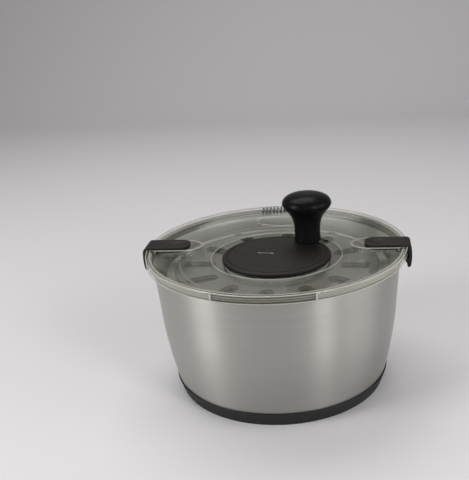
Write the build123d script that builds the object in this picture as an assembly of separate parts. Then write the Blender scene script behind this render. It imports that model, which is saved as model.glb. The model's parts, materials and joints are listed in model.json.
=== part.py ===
from build123d import *
import math
import os

# Hand-cranked salad spinner: steel bowl, perforated basket, clear geared lid.
# Millimetres, +Z up, origin at the centre of the base's underside.
# The two latches lie on the X axis and the pouring strainer faces +Y.

os.makedirs("parts", exist_ok=True)

# ---- driving dimensions -------------------------------------------------
LID_R = 131.0             # outside radius of the lid's skirt
SKIRT_Z = 137.6           # lower edge of the skirt
RIM_Z = 145.9             # top of the lid's rim
RIM_BAND = 4.0            # width of the flat band on top of the rim
PLASTIC = 2.2             # wall thickness of the clear mouldings
STEEL = 0.8               # wall thickness of the bowl
RUN = 0.05                # radial running clearance of a shaft in its bush
GAP = 0.4                 # clearance between parts that pass each other

BOWL_FLOOR_Z = 2.2        # underside of the bowl's floor
BEAD_R = 126.2            # centre radius of the bowl's rolled bead
BEAD_Z = 138.3
BEAD_SECTION = 2.2        # radius of the bead's own section
BASE_H = 14.6             # height of the rubber base ring
BASE_R_LOW = 107.7
BASE_R_TOP = 112.3

DISH_R = 66.0             # radius of the round recess that the crank disc turns in
DISH_Z = 134.8            # height of the lid's surface just outside that recess
WELL_Z = 131.2            # floor of the recess
DISH_FLAT_R = 100.0       # where the lid's surface starts to rise to the rim
DISH_FLAT_Z = 136.2

DISC_R = 55.3             # crank disc
DISC_EDGE_Z = 135.2
DISC_TOP_Z = 138.0
DISC_LOW_Z = 131.9
DISC_WALL = 2.4
HUB_R = 12.0              # crank hub that turns in the lid
KNOB_RADIUS = 46.5        # distance of the knob's axis from the centre
KNOB_ANGLE = 50.5         # direction of the knob at rest, degrees from +X
AXLE_R = 3.0

MODULE = 1.15             # gear tooth module
SUN_TEETH = 21
PLANET_TEETH = 21
RING_TEETH = 63
BACKLASH = 0.08           # taken off every tooth flank
GEAR_Z = 116.5            # lower face of the gears
GEAR_H = 8.0
CARRIER_Z = 125.4         # lower face of the planet carrier
CARRIER_H = 3.0
CARRIER_R = 34.0
SHAFT_R = 7.0             # output shaft below the sun gear

PLATE_Z = 123.4           # top of the drive plate's outer ring
PLATE_R = 103.8           # its outside radius
PLATE_WELL_R = 55.0       # radius of the well that clears the gear case
PLATE_WELL_Z = 106.0      # underside of that well
LUGS = 6                  # lugs on the drive plate that carry the basket round
LUG_HALF = 4.0            # half width of a lug
LUG_OUT = 3.6             # how far a lug stands out of the plate
PLATE_SLOTS = 12          # radial slots in the plate's outer ring
PLATE_SLOT_IN = 71.0      # radii of the centres of a slot's round ends
PLATE_SLOT_OUT = 90.0
PLATE_SLOT_HALF = 5.2
PLATE_SLOT_START = -2.5   # direction of the first slot, degrees from +X

BASKET_FLOOR_Z = 8.0
BASKET_FLOOR_R = 86.0
BASKET_WALL_R = 105.0     # outside radius at the top of the wall
BASKET_RIM_Z = 125.0
BASKET_RIM_H = 8.0
BASKET_RIM_R = 112.0
BASKET_SLOTS = 40         # upright slots in each of the three tiers
BASKET_TIERS = ((20, 48), (53, 81), (86, 110))
BASKET_SLOT_HALF = 1.7    # half width of a slot
PIVOT_R = 5.0             # steel pivot in the middle of the bowl
BUSH_R = 7.5              # outside radius of the pivot bush

LATCH_W = 26.0            # width of a latch
LATCH_TOP_Z = 147.5
LATCH_T = 3.6             # thickness of the latch's arm
LATCH_TIP_R = 88.4        # inner end of the arm
LATCH_OUT_R = 135.0       # outer face of the leg
LATCH_FOOT_Z = 123.5      # lower end of the leg
LATCH_CORNER = 8.0        # plan radius of the arm's inner corners
LATCH_HOOK_R = 127.3      # tip of the hook, under the bowl's bead
LATCH_PIN_R = 121.5       # distance of the hinge pin from the centre
LATCH_PIN_Z = 143.6
LATCH_PIN_RADIUS = 1.25
HOUSING_W = 32.0          # outside width of the raised wall round a latch
HOUSING_WALL = 2.0
HOUSING_TIP_R = 74.0      # pointed inner end of that wall

STRAINER_HOLES = 14       # in each row
STRAINER_PITCH = 4.1
STRAINER_HOLE_R = 1.1
POUR_WELL_Y = 102.0       # middle of the oval well in front of the strainer
POUR_WELL_X_RADIUS = 31.0
POUR_WELL_Y_RADIUS = 14.0
POUR_WELL_DEPTH = 4.2
GRIP_SECTOR = 21.0        # half angle of the grooved stretch at the front of the rim


def save(shape, name):
    """Write one named piece to its own file."""
    shape.label = name
    export_step(shape, f"parts/{name}.step")


def turned(points):
    """Solid of revolution about Z from an outline of (radius, height) points."""
    outline = Polyline(*[(r, 0, z) for r, z in points], close=True)
    return revolve(make_face(outline), Axis.Z)


def turned_edges(lines):
    """Solid of revolution about Z from lines that close an outline in the XZ plane."""
    edges = [edge for line in lines for edge in line.edges()]
    return revolve(make_face(Wire(edges)), Axis.Z)


def disc(radius, low, high, x=0.0, y=0.0):
    """Plain cylinder between two heights."""
    return Pos(x, y, low) * Cylinder(radius, high - low, align=(Align.CENTER, Align.CENTER, Align.MIN))


def tube(outer, inner, low, high, x=0.0, y=0.0):
    """Ring between two radii and two heights."""
    return disc(outer, low, high, x, y) - disc(inner, low - 1, high + 1, x, y)


def bore(radius, x=0.0, y=0.0):
    """Cutter for a hole right through a piece."""
    return disc(radius, -10, 220, x, y)


def block(x0, x1, y0, y1, z0, z1):
    """Box between two corners."""
    size = Box(x1 - x0, y1 - y0, z1 - z0)
    return Pos((x0 + x1) / 2, (y0 + y1) / 2, (z0 + z1) / 2) * size


def around(shape, count, start=0.0):
    """Copies of a shape, evenly spaced about Z."""
    return [Rot(0, 0, start + 360 / count * i) * shape for i in range(count)]


def joined(shapes):
    """One compound of separate solids."""
    solids = [solid for shape in shapes for solid in shape.solids()]
    return Compound(solids)


# ---- gears --------------------------------------------------------------
def involute(angle):
    return math.tan(angle) - angle


def tooth_outline(teeth, root_r, tip_r, thinning):
    """Closed outline of a spur gear, one tooth centred on +X."""
    pitch_r = MODULE * teeth / 2
    base_r = pitch_r * math.cos(math.radians(20))
    half_pitch = math.pi / (2 * teeth) - thinning / pitch_r + involute(math.radians(20))
    steps = 4
    flank = []
    for i in range(steps + 1):
        radius = root_r + (tip_r - root_r) * i / steps
        angle = half_pitch - involute(math.acos(min(1.0, base_r / radius)))
        flank.append((radius, angle))
    points = []
    for tooth in range(teeth):
        middle = 2 * math.pi * tooth / teeth
        for radius, angle in flank:
            points.append((radius * math.cos(middle - angle), radius * math.sin(middle - angle)))
        for radius, angle in reversed(flank):
            points.append((radius * math.cos(middle + angle), radius * math.sin(middle + angle)))
    return points


def outer_gear(teeth, low, high):
    """Spur gear with outside teeth, centred on Z."""
    pitch_r = MODULE * teeth / 2
    outline = tooth_outline(teeth, pitch_r - 1.25 * MODULE, pitch_r + MODULE, BACKLASH)
    face = make_face(Polyline(*outline, close=True))
    return extrude(Pos(0, 0, low) * face, high - low)


def inner_gear_space(teeth, low, high):
    """The space inside a ring gear, to cut from a solid ring."""
    pitch_r = MODULE * teeth / 2
    outline = tooth_outline(teeth, pitch_r - 0.85 * MODULE, pitch_r + 1.3 * MODULE, -BACKLASH)
    face = make_face(Polyline(*outline, close=True))
    return extrude(Pos(0, 0, low) * face, high - low)


PLANET_ORBIT = MODULE * (SUN_TEETH + PLANET_TEETH) / 2
RING_PITCH_R = MODULE * RING_TEETH / 2
RING_OUT_R = RING_PITCH_R + 5.0
GEAR_TOP = GEAR_Z + GEAR_H
CARRIER_TOP = CARRIER_Z + CARRIER_H
COVER_TOP = GEAR_Z - 1.0
COVER_H = 3.0
FLANGE_R = 53.0
FLANGE_H = 2.5
HOUSING_SCREW_R = 48.0
COVER_SCREW_R = 42.1
CRANK_SCREW_R = 8.5
SCREW_R = 1.5
SCREW_HEAD_R = 2.8
SCREW_HEAD_H = 1.8


def screw(x, y, head_low, length):
    """Pan-head screw driven upwards, with a cross recess in the underside of its head."""
    long, short, depth = 1.6, 0.35, 0.7
    head_top = head_low + SCREW_HEAD_H
    cross = block(x - long, x + long, y - short, y + short, head_low - 1, head_low + depth)
    cross += block(x - short, x + short, y - long, y + long, head_low - 1, head_low + depth)
    shank = disc(SCREW_R, head_top, head_top + length, x, y)
    return disc(SCREW_HEAD_R, head_low, head_top, x, y) - cross + shank


def ring_places(count, radius, start=0.0):
    """Points evenly spaced on a circle."""
    angles = [math.radians(start + 360 / count * i) for i in range(count)]
    return [(radius * math.cos(a), radius * math.sin(a)) for a in angles]


# ---- bowl ---------------------------------------------------------------
def bowl_wall_points(inset):
    """Points up the bowl's slightly swelling side, moved in by a wall thickness."""
    side = [(109.6, 8.6), (115.1, 34.4), (119.9, 68.8), (122.1, 103.2), (124.6, SKIRT_Z)]
    return [(r - inset, z) for r, z in side]


def bowl_body(inset, floor_z):
    """The bowl's filled form out to one side of its wall."""
    side = [Vector(r, 0, z) for r, z in bowl_wall_points(inset)]
    corner = Vector(side[0].X - 7.0, 0, floor_z)
    wall = Spline(*side)
    turn = ThreePointArc(corner, Vector(corner.X + 5.2, 0, floor_z + 2.1), side[0])
    floor = Line((0, 0, floor_z), corner)
    top = Line(side[-1], (0, 0, side[-1].Z))
    middle = Line((0, 0, side[-1].Z), (0, 0, floor_z))
    return turned_edges([floor, turn, wall, top, middle])


def make_bowl():
    shell = bowl_body(0, BOWL_FLOOR_Z) - bowl_body(STEEL, BOWL_FLOOR_Z + STEEL)
    section = Pos(BEAD_R, 0, BEAD_Z) * (Rot(90, 0, 0) * Circle(BEAD_SECTION))
    bead = revolve(section, Axis.Z)
    return shell + bead


def make_base_ring():
    outer = [
        (96.0, 0),
        (BASE_R_LOW - 1.2, 0),
        (BASE_R_LOW, 1.2),
        (BASE_R_TOP, BASE_H - 1.0),
        (BASE_R_TOP - 0.5, BASE_H),
        (BASE_R_TOP - 6, BASE_H),
        (96.0, BOWL_FLOOR_Z),
    ]
    return turned(outer) - bowl_body(0, BOWL_FLOOR_Z)


def make_pivot_pin():
    floor = BOWL_FLOOR_Z + STEEL
    points = [(0, floor), (13, floor), (13, floor + 0.8), (6.5, floor + 1.6), (PIVOT_R, floor + 3)]
    points += [(PIVOT_R, 15.2), (4.0, 16.6), (2.0, 17.1), (0, 17.2)]
    return turned(points)


# ---- basket -------------------------------------------------------------
def make_pivot_bush():
    return disc(BUSH_R, 6.4, 19.5) - disc(PIVOT_R + RUN, 6.0, 17.5)


def basket_slot(angle, low, high):
    """Cutters for one upright slot with round ends in the basket's wall."""
    half = BASKET_SLOT_HALF
    heights = (low + half, high - half)
    cutter = block(80, 120, -half, half, *heights)
    ends = [Pos(100, 0, z) * (Rot(0, 90, 0) * Cylinder(half, 40)) for z in heights]
    return [Rot(0, 0, angle) * piece for piece in (cutter, *ends)]


def basket_cuts():
    """Upright slots in three staggered tiers, radial slots in the floor and notches for the lugs."""
    cutters = []
    step = 360 / BASKET_SLOTS
    for tier, (low, high) in enumerate(BASKET_TIERS):
        start = step / 2 * (tier % 2)
        for i in range(BASKET_SLOTS):
            cutters += basket_slot(start + step * i, low, high)
    floor = (BASKET_FLOOR_Z - 1, BASKET_FLOOR_Z + PLASTIC + 1)
    cutters += around(block(26, 48, -1.6, 1.6, *floor), BASKET_SLOTS // 2)
    cutters += around(block(55, 80, -1.6, 1.6, *floor), BASKET_SLOTS, step / 2)
    notch_half = LUG_HALF + 0.6
    notch = block(PLATE_R - 2, PLATE_R + 5, -notch_half, notch_half, PLATE_Z - 4.4, BASKET_RIM_Z + 1)
    return cutters + around(notch, LUGS)


def make_basket():
    rim_low = BASKET_RIM_Z - BASKET_RIM_H
    floor_top = BASKET_FLOOR_Z + PLASTIC
    outline = [
        (0, BASKET_FLOOR_Z),
        (BASKET_FLOOR_R, BASKET_FLOOR_Z),
        (BASKET_FLOOR_R + 4, BASKET_FLOOR_Z + 2),
        (BASKET_FLOOR_R + 6.5, BASKET_FLOOR_Z + 8),
        (BASKET_WALL_R, rim_low - 4),
        (BASKET_RIM_R, rim_low),
        (BASKET_RIM_R, BASKET_RIM_Z - 1),
        (BASKET_RIM_R - 1, BASKET_RIM_Z),
        (PLATE_R + GAP, BASKET_RIM_Z),
        (PLATE_R + GAP, rim_low),
        (BASKET_WALL_R - PLASTIC, rim_low - 4),
        (BASKET_FLOOR_R + 6.5 - PLASTIC, BASKET_FLOOR_Z + 9),
        (BASKET_FLOOR_R + 3 - PLASTIC, floor_top + 2),
        (BASKET_FLOOR_R - PLASTIC, floor_top),
        (0, floor_top),
    ]
    basket = turned(outline)
    basket += disc(10.8, BASKET_FLOOR_Z, 22.4)
    basket -= disc(BUSH_R + 0.08, BASKET_FLOOR_Z - 1, 19.9)
    return basket - basket_cuts()


# ---- lid ----------------------------------------------------------------
def lid_shell():
    """The clear lid's turned form: recess, shallow dish, rim and skirt."""
    rise_out = Vector(LID_R - RIM_BAND - 2.4, 0, RIM_Z - 2.8)
    rise_in = rise_out - Vector(0.5, 0, PLASTIC)
    flat_out = Vector(DISH_FLAT_R, 0, DISH_FLAT_Z)
    flat_in = flat_out - Vector(0, 0, PLASTIC)
    rib_r = LID_R - RIM_BAND - 1.5
    ceiling = RIM_Z - PLASTIC
    rib_z = BEAD_Z + BEAD_SECTION + GAP
    top = Polyline(
        (15, 0, WELL_Z),
        (DISH_R - 1.0, 0, WELL_Z),
        (DISH_R, 0, WELL_Z + 1.0),
        (DISH_R, 0, DISH_Z - 0.5),
        (DISH_R + 0.6, 0, DISH_Z),
        flat_out,
    )
    rise = Spline(flat_out, rise_out, tangents=[(1, 0, 0.05), (1, 0, 0.62)])
    rim = Polyline(
        rise_out,
        (LID_R - RIM_BAND - 0.7, 0, RIM_Z - 0.5),
        (LID_R - RIM_BAND, 0, RIM_Z),
        (LID_R - 1.2, 0, RIM_Z),
        (LID_R - 0.35, 0, RIM_Z - 0.35),
        (LID_R, 0, RIM_Z - 1.2),
        (LID_R, 0, SKIRT_Z + 0.4),
        (LID_R - 0.4, 0, SKIRT_Z),
        (LID_R - PLASTIC, 0, SKIRT_Z),
        (LID_R - PLASTIC, 0, ceiling),
        (rib_r + 1.6, 0, ceiling),
        (rib_r + 1.6, 0, rib_z),
        (rib_r, 0, rib_z),
        (rib_r, 0, ceiling - 1.2),
        rise_in,
    )
    under_rise = Spline(rise_in, flat_in, tangents=[(-1, 0, -0.62), (-1, 0, -0.05)])
    under = Polyline(
        flat_in,
        (98.8, 0, DISH_FLAT_Z - PLASTIC),
        (98.8, 0, DISH_FLAT_Z - PLASTIC - 2.6),
        (97.4, 0, DISH_FLAT_Z - PLASTIC - 2.6),
        (97.4, 0, DISH_FLAT_Z - PLASTIC - 0.1),
        (DISH_R + PLASTIC, 0, DISH_Z - PLASTIC),
        (DISH_R + PLASTIC, 0, WELL_Z - PLASTIC),
        (15, 0, WELL_Z - PLASTIC),
        (15, 0, WELL_Z),
    )
    return turned_edges([top, rise, rim, under_rise, under])


def housing_prism(inset, low, high):
    """Boat-shaped upright prism round a latch on +X, pointed towards the centre."""
    half = HOUSING_W / 2 - inset
    tip = HOUSING_TIP_R + 1.6 * inset
    shoulder = LATCH_TIP_R + 3
    end = LID_R - 5.5
    edges = [
        Line((end, -half), (shoulder, -half)),
        ThreePointArc((shoulder, -half), (tip + 4.6, -half * 0.55), (tip, 0)),
        ThreePointArc((tip, 0), (tip + 4.6, half * 0.55), (shoulder, half)),
        Line((shoulder, half), (end, half)),
        Line((end, half), (end, -half)),
    ]
    return extrude(Pos(0, 0, low) * make_face(Wire(edges)), high - low)


def latch_housing_cuts():
    """Everything cut from the lid for the latch on +X."""
    slot_half = LATCH_W / 2 + 0.6
    pivot_floor = LATCH_PIN_Z - 3.1
    arm_space = housing_prism(HOUSING_WALL, DISH_FLAT_Z + 0.3, pivot_floor + 0.1)
    cuts = [arm_space & block(0, 114, -20, 20, 100, 160)]
    cuts.append(housing_prism(HOUSING_WALL, pivot_floor, RIM_Z + 3) & block(0, 124.2, -20, 20, 100, 160))
    cuts.append(block(124.0, LID_R + 1, -slot_half, slot_half, RIM_Z - 2.7, RIM_Z + 3))
    pin_hole = Cylinder(LATCH_PIN_RADIUS, HOUSING_W + 2, rotation=(90, 0, 0))
    cuts.append(Pos(LATCH_PIN_R, 0, LATCH_PIN_Z) * pin_hole)
    return cuts


def strainer_cuts():
    """Two rows of small holes in the back of the rim."""
    cuts = []
    for radius in (LID_R - 3.0, LID_R - 9.2):
        step = math.degrees(STRAINER_PITCH / radius)
        hole = disc(STRAINER_HOLE_R, RIM_Z - 12, RIM_Z + 2, radius, 0)
        for i in range(STRAINER_HOLES):
            cuts.append(Rot(0, 0, 90 + step * (i - (STRAINER_HOLES - 1) / 2)) * hole)
    return cuts


def pour_well(inset, low, high):
    """Oval prism of the shallow well in front of the strainer."""
    oval = Ellipse(POUR_WELL_X_RADIUS - inset, POUR_WELL_Y_RADIUS - inset)
    return extrude(Pos(0, POUR_WELL_Y, low) * oval, high - low)


def grip_cuts():
    """Fine grooves round the front of the rim, closed by an upright notch at each end."""
    groove_z = (SKIRT_Z + 2.0, SKIRT_Z + 4.2, SKIRT_Z + 6.4)
    rings = [tube(LID_R + 1, LID_R - 0.6, z - 0.4, z + 0.4) for z in groove_z]
    rings.append(tube(LID_R - 1.9, LID_R - 2.7, RIM_Z - 0.5, RIM_Z + 1))
    reach_x = 160 * math.sin(math.radians(GRIP_SECTOR))
    reach_y = 160 * math.cos(math.radians(GRIP_SECTOR))
    wedge_face = make_face(Polyline((0, 0), (-reach_x, -reach_y), (reach_x, -reach_y), close=True))
    wedge = extrude(Pos(0, 0, 130) * wedge_face, 20)
    cuts = [ring & wedge for ring in rings]
    notch = block(LID_R - 0.9, LID_R + 1, -0.8, 0.8, SKIRT_Z - 1, RIM_Z + 1)
    cuts += [Rot(0, 0, -90 + side * GRIP_SECTOR) * notch for side in (-1, 1)]
    return cuts


def make_lid_cover():
    lid = lid_shell()
    lid += tube(17.5, 15, WELL_Z - PLASTIC, WELL_Z + 2.8)
    well_low = DISH_FLAT_Z - POUR_WELL_DEPTH - PLASTIC
    lid += pour_well(0, well_low, DISH_FLAT_Z - 0.6) & disc(118, 100, 160)
    bead_inner = BEAD_R - BEAD_SECTION - STEEL - GAP
    bead_space = tube(LID_R - PLASTIC, bead_inner, 120, BEAD_Z + BEAD_SECTION + GAP)
    housing = housing_prism(0, DISH_FLAT_Z - 1.0, RIM_Z) - bead_space
    sill = block(118, LID_R - 1, -HOUSING_W / 2, HOUSING_W / 2, BEAD_Z + BEAD_SECTION + GAP, RIM_Z - 2.0)
    sill = sill & disc(LID_R - 1, 100, 160)
    for side in (0, 180):
        lid += Rot(0, 0, side) * housing
        lid += Rot(0, 0, side) * sill
    cuts = [Rot(0, 0, side) * cut for side in (0, 180) for cut in latch_housing_cuts()]
    cuts += strainer_cuts()
    cuts += grip_cuts()
    cuts.append(pour_well(PLASTIC, well_low + PLASTIC, RIM_Z + 5))
    for x, y in ring_places(4, HOUSING_SCREW_R, 45):
        cuts.append(disc(SCREW_R, WELL_Z - PLASTIC - 1, WELL_Z - 0.6, x, y))
    return lid - cuts


def make_hub_bush():
    bush = tube(15, HUB_R + RUN, WELL_Z - PLASTIC, WELL_Z + 2.8)
    return bush + tube(17.5, HUB_R + RUN, WELL_Z + 2.8, WELL_Z + 3.6)


# ---- gear train ---------------------------------------------------------
def make_ring_gear():
    top = WELL_Z - PLASTIC
    body = disc(RING_OUT_R, COVER_TOP, top) + disc(FLANGE_R, top - FLANGE_H, top)
    body -= inner_gear_space(RING_TEETH, COVER_TOP - 1, GEAR_TOP + 0.5)
    body -= disc(RING_PITCH_R + 1.3 * MODULE, GEAR_TOP + 0.5, top + 1)
    for x, y in ring_places(3, COVER_SCREW_R, 30):
        boss = disc(3.4, COVER_TOP, top, x, y)
        body += boss - disc(RING_OUT_R - 1, COVER_TOP - 1, top + 1)
        body -= disc(SCREW_R, COVER_TOP - 1, COVER_TOP + 7.0, x, y)
    for x, y in ring_places(4, HOUSING_SCREW_R, 45):
        body -= disc(SCREW_R, top - FLANGE_H - 1, top + 1, x, y)
    return body


def make_gear_cover():
    cover = disc(46, COVER_TOP - COVER_H, COVER_TOP)
    cover += tube(11, SHAFT_R + RUN, COVER_TOP - COVER_H - 2, COVER_TOP)
    cover -= bore(SHAFT_R + RUN)
    for x, y in ring_places(3, COVER_SCREW_R, 30):
        cover -= bore(SCREW_R, x, y)
    return cover


def make_housing_screws():
    low = WELL_Z - PLASTIC - FLANGE_H - SCREW_HEAD_H
    return joined([screw(x, y, low, FLANGE_H + 1.4) for x, y in ring_places(4, HOUSING_SCREW_R, 45)])


def make_cover_screws():
    low = COVER_TOP - COVER_H - SCREW_HEAD_H
    return joined([screw(x, y, low, COVER_H + 6.5) for x, y in ring_places(3, COVER_SCREW_R, 30)])


def make_sun_gear():
    gear = outer_gear(SUN_TEETH, GEAR_Z, GEAR_TOP)
    shaft = disc(SHAFT_R, 104.5, GEAR_Z + 1)
    return gear + shaft - disc(SCREW_R, 100, 116)


def make_planet_gear(x, y):
    gear = outer_gear(PLANET_TEETH, GEAR_Z, GEAR_TOP)
    collar = tube(6, AXLE_R, GEAR_TOP, CARRIER_Z - 0.3)
    return Pos(x, y, 0) * (gear + collar - bore(AXLE_R + RUN))


def make_planet_carrier():
    plate = disc(CARRIER_R, CARRIER_Z, CARRIER_TOP)
    plate -= [bore(AXLE_R, x, y) for x, y in ring_places(3, PLANET_ORBIT)]
    plate -= [bore(SCREW_R, x, y) for x, y in ring_places(3, CRANK_SCREW_R, 60)]
    plate -= [bore(5.0, x, y) for x, y in ring_places(3, PLANET_ORBIT, 60)]
    return plate


def make_planet_pins():
    pins = []
    for x, y in ring_places(3, PLANET_ORBIT):
        pins.append(disc(AXLE_R, GEAR_Z - 0.4, CARRIER_TOP, x, y))
    return joined(pins)


def make_drive_plate():
    top = PLATE_Z
    low = PLATE_Z - PLASTIC
    wall = PLATE_WELL_R
    outline = [
        (SHAFT_R, PLATE_WELL_Z),
        (wall - 3.5, PLATE_WELL_Z),
        (wall, PLATE_WELL_Z + 3.5),
        (wall + 1.2, low),
        (PLATE_R - 0.8, low),
        (PLATE_R, low + 0.8),
        (PLATE_R, top),
        (PLATE_R - 2.2, top + 1.0),
        (PLATE_R - 4.0, top),
        (wall - 1, top),
        (wall - 2.2, PLATE_WELL_Z + 5.5),
        (wall - 4.5, PLATE_WELL_Z + 2.4),
        (12, PLATE_WELL_Z + 2.4),
        (12, 109.6),
        (SHAFT_R, 109.6),
    ]
    plate = turned(outline)
    plate += around(block(PLATE_R - 3, PLATE_R + LUG_OUT, -LUG_HALF, LUG_HALF, low, top), LUGS)
    half = PLATE_SLOT_HALF
    slot = block(PLATE_SLOT_IN, PLATE_SLOT_OUT, -half, half, low - 1, top + 1)
    slot += disc(half, low - 1, top + 1, PLATE_SLOT_IN)
    slot += disc(half, low - 1, top + 1, PLATE_SLOT_OUT)
    return plate - around(slot, PLATE_SLOTS, PLATE_SLOT_START)


def make_drive_screw():
    head_low = PLATE_WELL_Z - 3.2
    washer = disc(9.5, PLATE_WELL_Z - 1.4, PLATE_WELL_Z) - disc(SHAFT_R - 1, 100, PLATE_WELL_Z - 2)
    screw_body = disc(3.2, head_low, PLATE_WELL_Z - 1.4) + disc(SCREW_R, PLATE_WELL_Z - 2, 115)
    return washer + screw_body - disc(SHAFT_R, 104.5, PLATE_WELL_Z) + disc(SCREW_R, 103, 115)


# ---- crank --------------------------------------------------------------
KNOB_X = KNOB_RADIUS * math.cos(math.radians(KNOB_ANGLE))
KNOB_Y = KNOB_RADIUS * math.sin(math.radians(KNOB_ANGLE))
KNOB_FOOT_Z = 137.4
SEAM_Z = 177.5            # joint between the knob's grip and its cap
KNOB_TOP_Z = 188.0
KNOB_FOOT_R = 14.0
KNOB_NECK_R = 12.9
KNOB_HEAD_R = 25.6
CAP_PLUG_R = 20.0
CAP_PLUG_H = 3.6


def make_crank_disc():
    dome = ThreePointArc((0, 0, DISC_TOP_Z), (28, 0, DISC_TOP_Z - 0.75), (53.6, 0, DISC_EDGE_Z))
    under = ThreePointArc(
        (DISC_R - DISC_WALL, 0, DISC_EDGE_Z - DISC_WALL + 0.4),
        (28, 0, DISC_TOP_Z - DISC_WALL - 0.6),
        (HUB_R, 0, DISC_TOP_Z - DISC_WALL),
    )
    edge = Polyline(
        (53.6, 0, DISC_EDGE_Z),
        (DISC_R - 0.5, 0, DISC_EDGE_Z - 0.5),
        (DISC_R, 0, DISC_EDGE_Z - 1.3),
        (DISC_R, 0, DISC_LOW_Z),
        (DISC_R - DISC_WALL, 0, DISC_LOW_Z),
        (DISC_R - DISC_WALL, 0, DISC_EDGE_Z - DISC_WALL + 0.4),
    )
    hub = Polyline(
        (HUB_R, 0, DISC_TOP_Z - DISC_WALL),
        (HUB_R, 0, CARRIER_TOP),
        (5.5, 0, CARRIER_TOP),
        (5.5, 0, DISC_TOP_Z - DISC_WALL),
        (0, 0, DISC_TOP_Z - DISC_WALL),
        (0, 0, DISC_TOP_Z),
    )
    crank = turned_edges([dome, edge, under, hub])
    crank -= tube(50.6, 49.8, 134.9, 140)
    boss = disc(6.5, DISC_LOW_Z + 0.2, DISC_TOP_Z - DISC_WALL, KNOB_X, KNOB_Y)
    crank += boss
    crank -= bore(AXLE_R, KNOB_X, KNOB_Y)
    crank -= [disc(SCREW_R, 120, CARRIER_TOP + 4.5, x, y) for x, y in ring_places(3, CRANK_SCREW_R, 60)]
    return crank


def make_crank_screws():
    screws = []
    for x, y in ring_places(3, CRANK_SCREW_R, 60):
        screws.append(disc(SCREW_R, CARRIER_Z, CARRIER_TOP + 4.5, x, y))
    return joined(screws)


def make_knob_axle():
    axle = disc(AXLE_R, DISC_LOW_Z + 0.2, 175.6, KNOB_X, KNOB_Y)
    return axle + disc(5.5, 174.2, 176.2, KNOB_X, KNOB_Y)


def make_knob_grip():
    foot_top = (KNOB_FOOT_R, 0, KNOB_FOOT_Z + 0.5)
    foot = Polyline((AXLE_R + RUN, 0, KNOB_FOOT_Z), (KNOB_FOOT_R - 0.5, 0, KNOB_FOOT_Z), foot_top)
    side = Spline(
        foot_top,
        (KNOB_NECK_R + 0.1, 0, KNOB_FOOT_Z + 5.0),
        (KNOB_NECK_R + 0.1, 0, KNOB_FOOT_Z + 13.5),
        (13.9, 0, SEAM_Z - 20.3),
        (15.4, 0, SEAM_Z - 15.4),
        (17.6, 0, SEAM_Z - 11.6),
        (21.2, 0, SEAM_Z - 7.6),
        (24.3, 0, SEAM_Z - 4.0),
        (KNOB_HEAD_R, 0, SEAM_Z - 0.4),
    )
    top = Polyline(
        (KNOB_HEAD_R, 0, SEAM_Z - 0.4),
        (KNOB_HEAD_R - 0.3, 0, SEAM_Z),
        (CAP_PLUG_R, 0, SEAM_Z),
        (CAP_PLUG_R, 0, SEAM_Z - CAP_PLUG_H),
        (AXLE_R + RUN, 0, SEAM_Z - CAP_PLUG_H),
        (AXLE_R + RUN, 0, KNOB_FOOT_Z),
    )
    return Pos(KNOB_X, KNOB_Y, 0) * turned_edges([foot, side, top])


def make_knob_cap():
    shoulder = (18.4, 0, KNOB_TOP_Z - 3.2)
    crown = TangentArc((0, 0, KNOB_TOP_Z), shoulder, tangent=(1, 0, 0))
    brow = TangentArc(shoulder, (KNOB_HEAD_R - 0.3, 0, SEAM_Z), tangent=crown % 1)
    inside = Polyline(
        (KNOB_HEAD_R - 0.3, 0, SEAM_Z),
        (CAP_PLUG_R, 0, SEAM_Z),
        (CAP_PLUG_R, 0, SEAM_Z - CAP_PLUG_H),
        (CAP_PLUG_R - 2.4, 0, SEAM_Z - CAP_PLUG_H),
        (CAP_PLUG_R - 2.4, 0, SEAM_Z + 3),
        (12, 0, KNOB_TOP_Z - 4),
        (0, 0, KNOB_TOP_Z - 3),
        (0, 0, KNOB_TOP_Z),
    )
    return Pos(KNOB_X, KNOB_Y, 0) * turned_edges([crown, brow, inside])


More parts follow.
